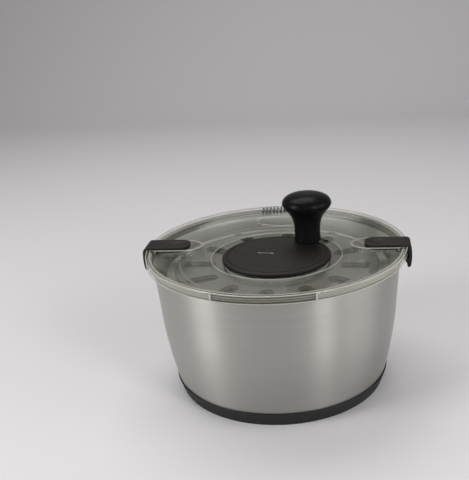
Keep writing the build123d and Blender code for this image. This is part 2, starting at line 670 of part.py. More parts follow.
# ---- latches ------------------------------------------------------------
def make_latch():
    """Rocking latch on +X: arm, pivot barrel, outer leg and inward hook."""
    half = LATCH_W / 2
    arm_low = LATCH_TOP_Z - LATCH_T
    leg_in = LID_R + 0.9
    bend = 4.2
    corner = Vector(LATCH_OUT_R - 0.5, 0, LATCH_TOP_Z - bend)
    crest = (LATCH_OUT_R - 0.5 - 0.293 * bend, 0, LATCH_TOP_Z - 0.293 * bend)
    foot = Vector(LATCH_OUT_R - 1.2, 0, LATCH_FOOT_Z + 1.2)
    side = [
        Line((LATCH_TIP_R, 0, LATCH_TOP_Z), (corner.X - bend, 0, LATCH_TOP_Z)),
        ThreePointArc((corner.X - bend, 0, LATCH_TOP_Z), crest, corner),
        ThreePointArc(corner, (LATCH_OUT_R, 0, (corner.Z + foot.Z) / 2 + 2), foot),
        Polyline(
            foot,
            (LATCH_OUT_R - 2.2, 0, LATCH_FOOT_Z),
            (leg_in + 0.4, 0, LATCH_FOOT_Z),
            (leg_in, 0, 127.0),
            (LATCH_HOOK_R, 0, 132.6),
            (LATCH_HOOK_R, 0, 134.4),
            (leg_in, 0, 134.4),
            (leg_in, 0, arm_low),
            (LATCH_TIP_R, 0, arm_low),
            (LATCH_TIP_R, 0, LATCH_TOP_Z),
        ),
    ]
    edges = [edge for line in side for edge in line.edges()]
    body = extrude(Pos(0, half, 0) * make_face(Wire(edges)), amount=LATCH_W, dir=(0, -1, 0))
    plan = RectangleRounded(LATCH_OUT_R - LATCH_TIP_R + 20, LATCH_W, LATCH_CORNER)
    middle = (LATCH_OUT_R + LATCH_TIP_R + 20) / 2
    latch = body & extrude(Pos(middle, 0, LATCH_FOOT_Z - 1) * plan, 40)
    latch -= Pos(LATCH_TIP_R + 13, 0, LATCH_TOP_Z + 33.4) * Sphere(34.5)
    barrel = Pos(LATCH_PIN_R, 0, LATCH_PIN_Z) * Cylinder(2.5, LATCH_W, rotation=(90, 0, 0))
    hole = Cylinder(LATCH_PIN_RADIUS + RUN, LATCH_W + 2, rotation=(90, 0, 0))
    return latch + barrel - Pos(LATCH_PIN_R, 0, LATCH_PIN_Z) * hole


def make_latch_pins():
    pin = Cylinder(LATCH_PIN_RADIUS, HOUSING_W - 0.4, rotation=(90, 0, 0))
    return joined([Pos(side * LATCH_PIN_R, 0, LATCH_PIN_Z) * pin for side in (1, -1)])


def make_latch_spring():
    """Bent leaf spring that stands on the lid and lifts the arm of the latch on +X."""
    thickness = 0.4
    floor = DISH_FLAT_Z + 0.3
    touch = LATCH_TOP_Z - LATCH_T - 0.05
    path = [(94.0, floor), (104.0, floor), (112.6, touch - thickness), (114.6, touch - 0.9)]
    upper = [(r, z + thickness) for r, z in path]
    outline = Polyline(*[(r, 0, z) for r, z in path + upper[::-1]], close=True)
    return extrude(Pos(0, 4, 0) * make_face(outline), amount=8, dir=(0, -1, 0))


# ---- write every piece --------------------------------------------------
save(make_bowl(), "bowl")
save(make_base_ring(), "base_ring")
save(make_pivot_pin(), "pivot_pin")
save(make_pivot_bush(), "pivot_bush")
save(make_basket(), "basket")

save(make_lid_cover(), "lid_cover")
save(make_hub_bush(), "hub_bush")
save(make_ring_gear(), "ring_gear")
save(make_gear_cover(), "gear_cover")
save(make_housing_screws(), "housing_screws")
save(make_cover_screws(), "cover_screws")
save(make_latch_pins(), "latch_pins")

save(make_sun_gear(), "sun_gear")
save(make_drive_plate(), "drive_plate")
save(make_drive_screw(), "drive_screw")

save(make_crank_disc(), "crank_disc")
save(make_planet_carrier(), "planet_carrier")
save(make_planet_pins(), "planet_pins")
save(make_crank_screws(), "crank_screws")
save(make_knob_axle(), "knob_axle")
for number, (gear_x, gear_y) in enumerate(ring_places(3, PLANET_ORBIT), start=1):
    save(make_planet_gear(gear_x, gear_y), f"planet_gear_{number}")

save(make_knob_grip(), "knob_grip")
save(make_knob_cap(), "knob_cap")

for side_name, turn in (("right", 0), ("left", 180)):
    save(Rot(0, 0, turn) * make_latch(), f"latch_{side_name}")
    save(Rot(0, 0, turn) * make_latch_spring(), f"latch_spring_{side_name}")
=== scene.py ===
import json
import math

import bmesh
import bpy
from mathutils import Matrix, Vector


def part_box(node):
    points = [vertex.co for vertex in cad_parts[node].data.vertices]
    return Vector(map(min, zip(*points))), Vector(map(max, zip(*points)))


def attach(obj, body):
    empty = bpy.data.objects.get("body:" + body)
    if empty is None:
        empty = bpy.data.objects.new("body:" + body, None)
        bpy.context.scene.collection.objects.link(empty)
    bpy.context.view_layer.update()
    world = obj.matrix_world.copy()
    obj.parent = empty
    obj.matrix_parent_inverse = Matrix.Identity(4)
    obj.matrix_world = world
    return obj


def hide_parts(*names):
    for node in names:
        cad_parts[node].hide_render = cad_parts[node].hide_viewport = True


# Looks of a hand-cranked salad spinner. Metres, +Z up, origin under the base's centre.
# The latches lie on the X axis, the strainer faces +Y and the camera looks from -Y.

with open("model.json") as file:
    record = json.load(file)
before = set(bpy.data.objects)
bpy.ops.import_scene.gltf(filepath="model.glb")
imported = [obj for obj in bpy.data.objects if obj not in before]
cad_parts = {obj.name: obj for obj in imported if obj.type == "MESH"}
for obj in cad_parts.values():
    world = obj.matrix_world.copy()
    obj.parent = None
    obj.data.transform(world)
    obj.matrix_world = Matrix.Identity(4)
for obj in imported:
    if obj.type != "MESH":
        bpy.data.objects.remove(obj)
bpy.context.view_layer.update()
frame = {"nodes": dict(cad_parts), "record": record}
nodes = frame["nodes"]

MM = 0.001
ROUND = 256               # segments round a large turned piece

# ---- driving dimensions, in millimetres ---------------------------------
STEEL = 0.8               # thickness of the bowl's sheet
BEAD_R = 126.2            # centre of the bowl's curled rim
BEAD_Z = 138.3
# Above CURL_FROM_Z the steel is coloured dark as painted shade under the lid.
CURL_FROM_Z = 136.8       # the steel counts as curled rim above this height
DISC_R = 55.3             # crank disc
DISC_TOP_Z = 138.0
DISC_LOW_Z = 131.9
HUB_R = 12.0              # hub under the crank disc
HUB_TOP_Z = 135.5
RIM_EDGE_R = 130.55       # rounded outer edge of the lid's rim
POUR_WELL_Y = 102.0       # middle of the oval pour well
POUR_WELL_HALF_X = 30.6   # half sizes of its rounded edge
POUR_WELL_HALF_Y = 13.6
GRIP_SECTOR = 20.6        # half angle of the grooves at the front of the rim
GRIP_NOTCH = 21.0         # direction of the notch at each end of them, degrees from -Y
PLATE_SLOTS = 12          # radial slots in the drive plate
PLATE_SLOT_START = -2.5   # direction of the first slot, degrees from +X
LATCH_HALF = 13.0         # half width of a latch
LATCH_TIP_R = 88.4        # inner end of a latch's arm
LATCH_TOP_Z = 147.5
LATCH_OUT_R = 135.0       # outer face of its leg
LATCH_HOOK_R = 127.3      # tip of its hook

# ---- camera: the viewing angle of the picture ---------------------------
CAMERA_AZIMUTH = 6.5
CAMERA_ELEVATION = 26.0
CAMERA_ROLL = -3.0
CAMERA_DISTANCE = 0.80
CAMERA_AIM_Z = 0.052
CAMERA_LENS = 57.8
CAMERA_SHIFT = (-0.098, 0.187)


def add_camera():
    """Camera at the picture's viewing angle; the shift only places the object in the frame."""
    azimuth = math.radians(CAMERA_AZIMUTH)
    elevation = math.radians(CAMERA_ELEVATION)
    roll = math.radians(CAMERA_ROLL)
    back = Vector((
        math.sin(azimuth) * math.cos(elevation),
        -math.cos(azimuth) * math.cos(elevation),
        math.sin(elevation),
    ))
    level = Vector((math.cos(azimuth), math.sin(azimuth), 0))
    upright = back.cross(level)
    right = level * math.cos(roll) + upright * math.sin(roll)
    up = upright * math.cos(roll) - level * math.sin(roll)
    camera = bpy.data.objects.new("camera", bpy.data.cameras.new("camera"))
    bpy.context.scene.collection.objects.link(camera)
    camera.data.sensor_fit = "HORIZONTAL"
    camera.data.sensor_width = 36.0
    camera.data.lens = CAMERA_LENS
    camera.data.shift_x, camera.data.shift_y = CAMERA_SHIFT
    place = Vector((0, 0, CAMERA_AIM_Z)) + back * CAMERA_DISTANCE
    turn = Matrix((right, up, back)).transposed().to_4x4()
    camera.matrix_world = Matrix.Translation(place) @ turn
    bpy.context.scene.camera = camera


# ---- light and floor ----------------------------------------------------
def add_area_light(name, place, aim, size, power):
    """Soft rectangular studio light that points at a spot on the object."""
    data = bpy.data.lights.new(name, "AREA")
    data.shape = "RECTANGLE"
    data.size, data.size_y = size
    data.energy = power
    light = bpy.data.objects.new(name, data)
    bpy.context.scene.collection.objects.link(light)
    light.location = place
    light.rotation_euler = (Vector(aim) - Vector(place)).to_track_quat("-Z", "Y").to_euler()


def add_lights():
    """A tall light on each side for the streaks on the steel, a fill at the right and one above."""
    world = bpy.data.worlds.new("world")
    bpy.context.scene.world = world
    world.use_nodes = True
    background = world.node_tree.nodes["Background"]
    background.inputs["Color"].default_value = (0.56, 0.55, 0.555, 1)
    background.inputs["Strength"].default_value = 0.48
    middle = (0, 0, 0.09)
    add_area_light("left_light", (-1.07, -0.62, 0.50), middle, (0.52, 1.0), 14.5)
    add_area_light("right_light", (0.85, -0.89, 0.50), middle, (0.34, 1.0), 9)
    add_area_light("right_fill", (1.30, -0.25, 0.45), middle, (0.80, 0.9), 8)
    add_area_light("top_light", (-0.3, 0.6, 1.6), middle, (1.4, 1.0), 17)


def add_stage():
    """Pale floor that sweeps up into a backdrop."""
    reach = 3.0
    bend = 0.8
    wall_y = 2.2
    wall_top = 3.0
    section = [(-reach, 0.0), (wall_y - bend, 0.0)]
    steps = 16
    for i in range(1, steps + 1):
        angle = math.pi / 2 * i / steps
        section.append((wall_y - bend + bend * math.sin(angle), bend - bend * math.cos(angle)))
    section.append((wall_y, wall_top))
    mesh = bmesh.new()
    rows = []
    for y, z in section:
        rows.append([mesh.verts.new((x, y, z)) for x in (-reach, reach)])
    for low, high in zip(rows, rows[1:]):
        mesh.faces.new((low[0], low[1], high[1], high[0]))
    floor = new_piece("studio_floor", mesh, floor_material())


# ---- mesh helpers -------------------------------------------------------
def new_piece(name, mesh, material, smooth_angle=40):
    """Object from a bmesh, smooth where its faces meet at less than an angle."""
    bmesh.ops.recalc_face_normals(mesh, faces=mesh.faces)
    data = bpy.data.meshes.new(name)
    for face in mesh.faces:
        face.smooth = True
    mesh.to_mesh(data)
    mesh.free()
    data.set_sharp_from_angle(angle=math.radians(smooth_angle))
    piece = bpy.data.objects.new(name, data)
    bpy.context.scene.collection.objects.link(piece)
    piece.data.materials.append(material)
    return piece


def rounded(points, steps=5):
    """Outline of (radius, height) points, each with its own corner radius, as a closed loop."""
    out = []
    count = len(points)
    for i, (x, y, corner) in enumerate(points):
        here = Vector((x, y))
        before = Vector(points[i - 1][:2]) - here
        after = Vector(points[(i + 1) % count][:2]) - here
        if corner <= 0:
            out.append(here)
            continue
        half = before.angle(after) / 2
        reach = min(corner / math.tan(half), before.length * 0.49, after.length * 0.49)
        start = here + before.normalized() * reach
        end = here + after.normalized() * reach
        for k in range(steps + 1):
            t = k / steps
            out.append(start.lerp(here, t).lerp(here.lerp(end, t), t))
    return [(p.x, p.y) for p in out]


def smooth_line(points, steps=8):
    """Open curve through (radius, height) points, by Catmull-Rom."""
    ends = [points[0]] + list(points) + [points[-1]]
    line = []
    for a, b, c, d in zip(ends, ends[1:], ends[2:], ends[3:]):
        a, b, c, d = (Vector(p) for p in (a, b, c, d))
        for k in range(steps):
            t = k / steps
            line.append(0.5 * (2 * b + (c - a) * t + (2 * a - 5 * b + 4 * c - d) * t * t
                               + (3 * b - a - 3 * c + d) * t * t * t))
    line.append(Vector(points[-1]))
    return [(p.x, p.y) for p in line]


def apply_modifiers(piece):
    """Turn a piece's modifiers into plain mesh."""
    depsgraph = bpy.context.evaluated_depsgraph_get()
    made = bpy.data.meshes.new_from_object(piece.evaluated_get(depsgraph))
    piece.modifiers.clear()
    piece.data = made


def combine(piece, tool, operation):
    """Boolean of a piece with a tool, which is then removed."""
    modifier = piece.modifiers.new("combine", "BOOLEAN")
    modifier.operation = operation
    modifier.solver = "EXACT"
    modifier.object = tool
    apply_modifiers(piece)
    bpy.data.objects.remove(tool)


def soften(piece, width, steps=3, angle=30):
    """Round every edge where faces meet at more than an angle."""
    modifier = piece.modifiers.new("soften", "BEVEL")
    modifier.width = width
    modifier.segments = steps
    modifier.limit_method = "ANGLE"
    modifier.angle_limit = math.radians(angle)
    modifier.harden_normals = False
    apply_modifiers(piece)
    for face in piece.data.polygons:
        face.use_smooth = True
    piece.data.set_sharp_from_angle(angle=math.radians(40))


def arc(centre, radius, start, end, steps):
    """Points on a circular arc, angles in degrees."""
    points = []
    for k in range(steps + 1):
        angle = math.radians(start + (end - start) * k / steps)
        points.append((centre[0] + radius * math.cos(angle), centre[1] + radius * math.sin(angle)))
    return points


def sheet(path, thickness):
    """Closed outline of a sheet of even thickness whose middle follows an open path."""
    left = []
    right = []
    for i, point in enumerate(path):
        ahead = Vector(path[min(i + 1, len(path) - 1)])
        behind = Vector(path[max(i - 1, 0)])
        along = (ahead - behind).normalized()
        across = Vector((-along.y, along.x)) * thickness / 2
        left.append(tuple(Vector(point) + across))
        right.append(tuple(Vector(point) - across))
    return left + right[::-1]


def prism(outline, low, high, place):
    """Closed prism of an outline; place turns (across, up, along) into a point in millimetres."""
    mesh = bmesh.new()
    ends = []
    for along in (low, high):
        ends.append([mesh.verts.new(Vector(place(a, b, along)) * MM) for a, b in outline])
    mesh.faces.new(ends[0])
    mesh.faces.new(ends[1][::-1])
    count = len(outline)
    for i in range(count):
        j = (i + 1) % count
        mesh.faces.new((ends[0][i], ends[1][i], ends[1][j], ends[0][j]))
    return mesh


def standing(across, up, along):
    """Place for a prism whose outline stands upright and whose length lies along Y."""
    return across, along, up


def lying(across, up, along):
    """Place for a prism whose outline lies flat and whose length goes up Z."""
    return across, up, along


def tube_along(path, radius, closed, sides=8):
    """Round tube of a radius along a path of points, all in millimetres."""
    mesh = bmesh.new()
    count = len(path)
    rings = []
    for i, point in enumerate(path):
        ahead = Vector(path[(i + 1) % count] if closed else path[min(i + 1, count - 1)])
        behind = Vector(path[i - 1] if closed else path[max(i - 1, 0)])
        side = (ahead - behind).normalized().cross(Vector((0, 0, 1))).normalized()
        ring = []
        for k in range(sides):
            angle = 2 * math.pi * k / sides
            offset = side * math.cos(angle) + Vector((0, 0, 1)) * math.sin(angle)
            ring.append(mesh.verts.new((Vector(point) + offset * radius) * MM))
        rings.append(ring)
    pairs = list(zip(rings, rings[1:]))
    if closed:
        pairs.append((rings[-1], rings[0]))
    else:
        mesh.faces.new(rings[0])
        mesh.faces.new(rings[-1][::-1])
    for low, high in pairs:
        for k in range(sides):
            j = (k + 1) % sides
            mesh.faces.new((low[k], low[j], high[j], high[k]))
    return mesh


def circle_path(radius, z, count=ROUND):
    """Points of a level circle about the spin axis."""
    angles = [2 * math.pi * i / count for i in range(count)]
    return [(radius * math.cos(a), radius * math.sin(a), z) for a in angles]


def join_rings(mesh, rings):
    """Faces between each ring of corners and the next, and from the last back to the first."""
    for ring, other in zip(rings, rings[1:] + rings[:1]):
        for k in range(len(ring)):
            j = (k + 1) % len(ring)
            mesh.faces.new((ring[k], ring[j], other[j], other[k]))


def turned(outline, centre=(0, 0), segments=ROUND):
    """Closed surface of revolution from a closed outline of (radius, height) in millimetres."""
    mesh = bmesh.new()
    centre_x, centre_y = centre
    columns = []
    for i in range(segments):
        angle = 2 * math.pi * i / segments
        columns.append((math.cos(angle), math.sin(angle)))
    rings = []
    for r, z in outline:
        if r < 1e-6:
            tip = mesh.verts.new((centre_x * MM, centre_y * MM, z * MM))
            rings.append([tip] * segments)
            continue
        ring = []
        for c, s in columns:
            ring.append(mesh.verts.new(((centre_x + r * c) * MM, (centre_y + r * s) * MM, z * MM)))
        rings.append(ring)
    count = len(rings)
    for k in range(count):
        low, high = rings[k], rings[(k + 1) % count]
        if low[0] is low[1] and high[0] is high[1]:
            continue
        for i in range(segments):
            j = (i + 1) % segments
            corners = []
            for vert in (low[i], low[j], high[j], high[i]):
                if vert not in corners:
                    corners.append(vert)
            if len(corners) > 2:
                mesh.faces.new(corners)
    return mesh


# ---- materials ----------------------------------------------------------
def new_material(name, colour, roughness, metallic=0.0):
    """Principled material with the values that are the same all over it."""
    material = bpy.data.materials.new(name)
    material.use_nodes = True
    shader = material.node_tree.nodes["Principled BSDF"]
    shader.inputs["Base Color"].default_value = (*colour, 1)
    shader.inputs["Roughness"].default_value = roughness
    shader.inputs["Metallic"].default_value = metallic
    return material, shader


def node(material, kind, **values):
    """New shader node with its input values set by name."""
    made = material.node_tree.nodes.new(kind)
    for name, value in values.items():
        made.inputs[name.replace("_", " ")].default_value = value
    return made


def link(material, source, target):
    """Join an output socket to an input socket."""
    material.node_tree.links.new(source, target)


def stretched_position(material, scale):
    """Position in the object's own frame, scaled by a different amount along each axis."""
    place = material.node_tree.nodes.new("ShaderNodeTexCoord")
    stretch = material.node_tree.nodes.new("ShaderNodeVectorMath")
    stretch.operation = "MULTIPLY"
    stretch.inputs[1].default_value = scale
    link(material, place.outputs["Object"], stretch.inputs[0])
    return stretch.outputs["Vector"]


def noise(material, scale, detail=4.0, roughness=0.5):
    """Noise over the object's own frame."""
    made = node(material, "ShaderNodeTexNoise", Scale=1.0, Detail=detail, Roughness=roughness)
    link(material, stretched_position(material, scale), made.inputs["Vector"])
    return made.outputs["Fac"]


def ranged(material, source, low, high):
    """A 0-1 value mapped to a range."""
    made = node(material, "ShaderNodeMapRange")
    made.inputs["To Min"].default_value = low
    made.inputs["To Max"].default_value = high
    link(material, source, made.inputs["Value"])
    return made.outputs["Result"]


def tinted(material, source, dark, light):
    """Colour between two shades, by a 0-1 value."""
    made = material.node_tree.nodes.new("ShaderNodeMix")
    made.data_type = "RGBA"
    made.inputs[6].default_value = (*dark, 1)
    made.inputs[7].default_value = (*light, 1)
    link(material, source, made.inputs[0])
    return made.outputs[2]


def bumped(material, shader, source, strength, distance):
    """Fine relief on a shader's normal."""
    made = node(material, "ShaderNodeBump", Strength=strength, Distance=distance)
    link(material, source, made.inputs["Height"])
    link(material, made.outputs["Normal"], shader.inputs["Normal"])


def floor_material():
    """Plain pale matte floor."""
    material, shader = new_material("studio_floor", (0.55, 0.54, 0.545), 0.85)
    shader.inputs["Specular IOR Level"].default_value = 0.1
    return material


def brushed_steel():
    """Stainless steel brushed round the bowl, with faint long streaks."""
    material, shader = new_material("steel_bowl", (0.40, 0.395, 0.37), 0.30, 1.0)
    lines = noise(material, (14, 14, 2600), 3.0, 0.6)
    streaks = noise(material, (5, 5, 260), 4.0, 0.6)
    shade = tinted(material, streaks, (0.375, 0.37, 0.345), (0.425, 0.42, 0.395))
    link(material, shade, shader.inputs["Base Color"])
    link(material, ranged(material, lines, 0.26, 0.36), shader.inputs["Roughness"])
    shader.inputs["Anisotropic"].default_value = 0.8
    shader.inputs["Anisotropic Rotation"].default_value = 0.25
    tangent = material.node_tree.nodes.new("ShaderNodeTangent")
    tangent.direction_type = "RADIAL"
    tangent.axis = "Z"
    link(material, tangent.outputs["Tangent"], shader.inputs["Tangent"])
    bumped(material, shader, lines, 0.25, 0.00004)
    return material


def curl_steel_painted_shade():
    """The bowl's curled rim, unpolished, its colour darkened as painted shade for the shade under the
    lid.
    """
    material, shader = new_material("curl_steel_painted_shade", (0.12, 0.12, 0.11), 0.55, 0.7)
    marks = noise(material, (300, 300, 900), 3.0)
    link(material, ranged(material, marks, 0.45, 0.65), shader.inputs["Roughness"])
    return material


def inside_steel():
    """The bowl's inside, a plain even satin."""
    material, shader = new_material("inside_steel", (0.52, 0.52, 0.48), 0.6, 0.4)
    marks = noise(material, (40, 40, 900), 3.0)
    link(material, ranged(material, marks, 0.5, 0.7), shader.inputs["Roughness"])
    return material


def bright_steel():
    """Plain drawn steel for pins, screws and springs."""
    material, shader = new_material("plain_steel", (0.62, 0.62, 0.61), 0.28, 1.0)
    marks = noise(material, (900, 900, 900), 3.0)
    link(material, ranged(material, marks, 0.2, 0.38), shader.inputs["Roughness"])
    bumped(material, shader, marks, 0.15, 0.00003)
    return material


def black_rubber():
    """Matte black rubber with a fine moulded grain."""
    material, shader = new_material("black_rubber", (0.012, 0.012, 0.012), 0.72)
    shader.inputs["Specular IOR Level"].default_value = 0.3
    grain = noise(material, (1500, 1500, 1500), 4.0, 0.6)
    dust = noise(material, (60, 60, 90), 5.0, 0.65)
    shade = tinted(material, dust, (0.009, 0.009, 0.009), (0.015, 0.015, 0.015))
    link(material, shade, shader.inputs["Base Color"])
    link(material, ranged(material, dust, 0.62, 0.82), shader.inputs["Roughness"])
    bumped(material, shader, grain, 0.35, 0.00006)
    return material


def black_satin():
    """Black plastic with a fine spark-eroded texture."""
    material, shader = new_material("black_satin", (0.010, 0.009, 0.008), 0.5)
    shader.inputs["Specular IOR Level"].default_value = 0.16
    grain = noise(material, (2600, 2600, 2600), 3.0, 0.6)
    wear = noise(material, (45, 45, 45), 5.0, 0.6)
    shade = tinted(material, wear, (0.008, 0.007, 0.006), (0.012, 0.011, 0.009))
    link(material, shade, shader.inputs["Base Color"])
    link(material, ranged(material, wear, 0.42, 0.58), shader.inputs["Roughness"])
    bumped(material, shader, grain, 0.25, 0.00004)
    return material


def black_gloss():
    """Soft gloss black of the knob, with faint handling marks."""
    material, shader = new_material("black_gloss", (0.005, 0.005, 0.005), 0.34)
    shader.inputs["Specular IOR Level"].default_value = 0.05
    marks = noise(material, (70, 70, 70), 5.0, 0.6)
    fine = noise(material, (1800, 1800, 1800), 2.0)
    link(material, ranged(material, marks, 0.20, 0.32), shader.inputs["Roughness"])
    bumped(material, shader, fine, 0.06, 0.00003)
    return material


def clear_plastic(name, tint, alpha, edge_alpha, roughness):
    """Clear moulded plastic: a see-through haze under a mirror, both stronger at grazing angles."""
    material, shader = new_material(name, tint, 0.4)
    cloud = noise(material, (30, 30, 30), 3.0)
    facing = node(material, "ShaderNodeLayerWeight", Blend=0.5)
    link(material, ranged(material, facing.outputs["Facing"], alpha, edge_alpha), shader.inputs["Alpha"])
    steep = material.node_tree.nodes.new("ShaderNodeMath")
    steep.operation = "POWER"
    steep.inputs[1].default_value = 5.0
    link(material, facing.outputs["Facing"], steep.inputs[0])
    mirror = material.node_tree.nodes.new("ShaderNodeBsdfGlossy")
    link(material, ranged(material, cloud, roughness * 0.7, roughness * 1.4), mirror.inputs["Roughness"])
    mix = material.node_tree.nodes.new("ShaderNodeMixShader")
    link(material, ranged(material, steep.outputs["Value"], 0.02, 0.7), mix.inputs[0])
    link(material, shader.outputs["BSDF"], mix.inputs[1])
    link(material, mirror.outputs["BSDF"], mix.inputs[2])
    link(material, mix.outputs["Shader"], material.node_tree.nodes["Material Output"].inputs["Surface"])
    return material


def moulded(name, colour):
    """Plain moulded plastic with a light mottling."""
    material, shader = new_material(name, colour, 0.45)
    mottle = noise(material, (120, 120, 120), 4.0)
    dark = tuple(c * 0.92 for c in colour)
    link(material, tinted(material, mottle, dark, colour), shader.inputs["Base Color"])
    link(material, ranged(material, mottle, 0.38, 0.54), shader.inputs["Roughness"])
    return material


materials = {
    "steel_bowl": brushed_steel(),
    "plain_steel": bright_steel(),
    "black_rubber": black_rubber(),
    "black_satin": black_satin(),
    "black_gloss": black_gloss(),
    "clear_plastic": clear_plastic("clear_plastic", (0.20, 0.20, 0.165), 0.02, 0.24, 0.04),
    "drive_plastic": clear_plastic("drive_plastic", (0.20, 0.20, 0.17), 0.66, 0.86, 0.20),
    "basket_plastic": clear_plastic("basket_plastic", (0.48, 0.48, 0.42), 0.66, 0.86, 0.25),
    "white_acetal": moulded("white_acetal", (0.62, 0.62, 0.59)),
    "grey_plastic": moulded("grey_plastic", (0.22, 0.22, 0.21)),
}


def paint_cad_nodes():
    """Every carried-over CAD node takes the finish of its slot."""
    for part in frame["record"]["subparts"]:
        made = nodes[part["node"]]
        made.data.materials.clear()
        made.data.materials.append(materials[part["material_slot"]])


# ---- pieces made here ---------------------------------------------------
def add_piece(name, mesh, slot, body, replaced):
    """Piece with its slot's material that moves with a body and stands for a CAD node."""
    piece = new_piece(name, mesh, materials[slot])
    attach(piece, body)
    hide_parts(replaced)
    return piece


def make_bowl():
    """Steel sheet from the middle of the floor, up the side and round the curled rim."""
    floor = [(0, 2.6), (30, 2.6), (60, 2.6), (90, 2.6), (101, 2.6)]
    corner = [(104.6, 3.1), (107.2, 5.0)]
    side = smooth_line([(109.2, 8.6), (114.7, 34.4), (119.5, 68.8), (121.7, 103.2), (124.1, 136.2)], 10)
    curl = arc((BEAD_R, BEAD_Z), 1.8, 180, -120, 18)
    mesh = turned(sheet(floor + corner + side + curl, STEEL))
    bowl = add_piece("bowl_shell", mesh, "steel_bowl", "bowl", "bowl")
    # The curled rim takes a dark colour, painted shade under the lid; the inside takes its own satin.
    bowl.data.materials.append(curl_steel_painted_shade())
    bowl.data.materials.append(inside_steel())
    for face in bowl.data.polygons:
        outward = face.normal.x * face.center.x + face.normal.y * face.center.y
        if face.center.z > CURL_FROM_Z * MM:
            face.material_index = 1
        elif outward < 0:
            face.material_index = 2


def make_base_ring():
    """Rubber ring with rounded edges, a fine lip under the steel and grooves underneath."""
    seat = [(96.0, 0, 0.3), (96.0, 2.15, 0), (104.2, 2.3, 0)]
    seat += [(107.6, 4.6, 0), (110.2, 8.6, 0), (111.4, 14.3, 0)]
    outside = [(111.6, 14.6, 0.1), (112.2, 14.4, 0.3), (112.0, 13.2, 0.2), (107.7, 0.0, 1.4)]
    grooves = []
    for radius in (103.4, 100.9, 98.4):
        for reach, depth in ((0.5, 0), (0.3, 0.5), (-0.3, 0.5), (-0.5, 0)):
            grooves.append((radius + reach, depth, 0.1))
    mesh = turned(rounded(seat + outside + grooves, 4))
    add_piece("base_ring_rubber", mesh, "black_rubber", "bowl", "base_ring")


def dome_height(radius):
    """Height of the crank disc's top at a radius."""
    return DISC_TOP_Z - 2.8 * (radius / 53.6) ** 2


def make_crank_disc():
    """Domed disc with a fine ring groove, a rounded edge and a hub underneath."""
    top = [(r, dome_height(r)) for r in (0, 8, 16, 24, 32, 40, 45, 48, 49.5)]
    groove = [(49.8, 135.2), (50.0, 135.05), (50.6, 135.0), (50.8, 135.15), (51.1, dome_height(51.1))]
    edge = [(52.2, dome_height(52.2))] + arc((DISC_R - 1.4, 133.8), 1.4, 80, 0, 6)
    edge += [(DISC_R, 132.3), (55.0, DISC_LOW_Z)]
    under = [(53.2, DISC_LOW_Z), (52.9, 132.2), (52.7, 132.9), (40, 133.9), (26, 135.0)]
    hub = [(HUB_R, HUB_TOP_Z), (HUB_R, 128.4), (5.5, 128.4), (5.5, HUB_TOP_Z), (0, HUB_TOP_Z)]
    mesh = turned(top + groove + edge + under + hub)
    add_piece("crank_disc_top", mesh, "black_satin", "crank", "crank_disc")


def make_turn_mark():
    """Small plain double arrow printed on the crank disc."""
    middle = Vector((-10.5, -3.5))
    along = Vector((0.985, -0.17))
    across = Vector((0.17, 0.985))
    half, head, shaft, barb = 8.5, 2.6, 0.22, 0.95
    neck = half - head
    upper = [(-half, 0), (-neck, barb), (-neck, shaft), (neck, shaft), (neck, barb)]
    outline = upper + [(-a, -b) for a, b in upper]
    spots = [middle + along * a + across * b for a, b in outline]
    mesh = bmesh.new()
    top, bottom = [
        [mesh.verts.new(Vector((spot.x, spot.y, dome_height(spot.length) + lift)) * MM) for spot in spots]
        for lift in (0.05, -0.02)
    ]
    mesh.faces.new(top)
    mesh.faces.new(bottom[::-1])
    for i in range(len(spots)):
        j = (i + 1) % len(spots)
        mesh.faces.new((top[i], bottom[i], bottom[j], top[j]))
    mark = new_piece("turn_mark", mesh, light_ink())
    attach(mark, "crank")


def light_ink():
    """Pale grey print, slightly worn."""
    material, shader = new_material("light_ink", (0.42, 0.41, 0.38), 0.5)
    worn = noise(material, (900, 900, 900), 3.0)
    link(material, ranged(material, worn, 0.4, 0.6), shader.inputs["Roughness"])
    return material


def edge_painted_highlight():
    """Painted highlight: pale colour on the rounded edges of the clear mouldings, which gather light and
    look paler than the walls.
    """
    material, shader = new_material("edge_painted_highlight", (0.54, 0.54, 0.48), 0.2)
    cloud = noise(material, (60, 60, 60), 3.0)
    link(material, ranged(material, cloud, 0.40, 0.6), shader.inputs["Alpha"])
    link(material, ranged(material, cloud, 0.15, 0.3), shader.inputs["Roughness"])
    return material


def add_edge(name, path, radius, closed, material):
    """Round bead or groove line that rides on the lid, in the material it is given: painted highlight for
    edges, painted shade for grooves.
    """
    piece = new_piece(name, tube_along(path, radius, closed), material, 180)
    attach(piece, "lid")


def pour_well_place(angle):
    """Plan position on the pour well's oval edge."""
    return POUR_WELL_HALF_X * math.cos(angle), POUR_WELL_Y + POUR_WELL_HALF_Y * math.sin(angle)


def dish_height(radius):
    """Height of the lid's dish near the pour well; it rises outside a flat middle."""
    flat_r, flat_z = 100.0, 135.9
    return flat_z + max(0.0, radius - flat_r) ** 1.7 * 0.045


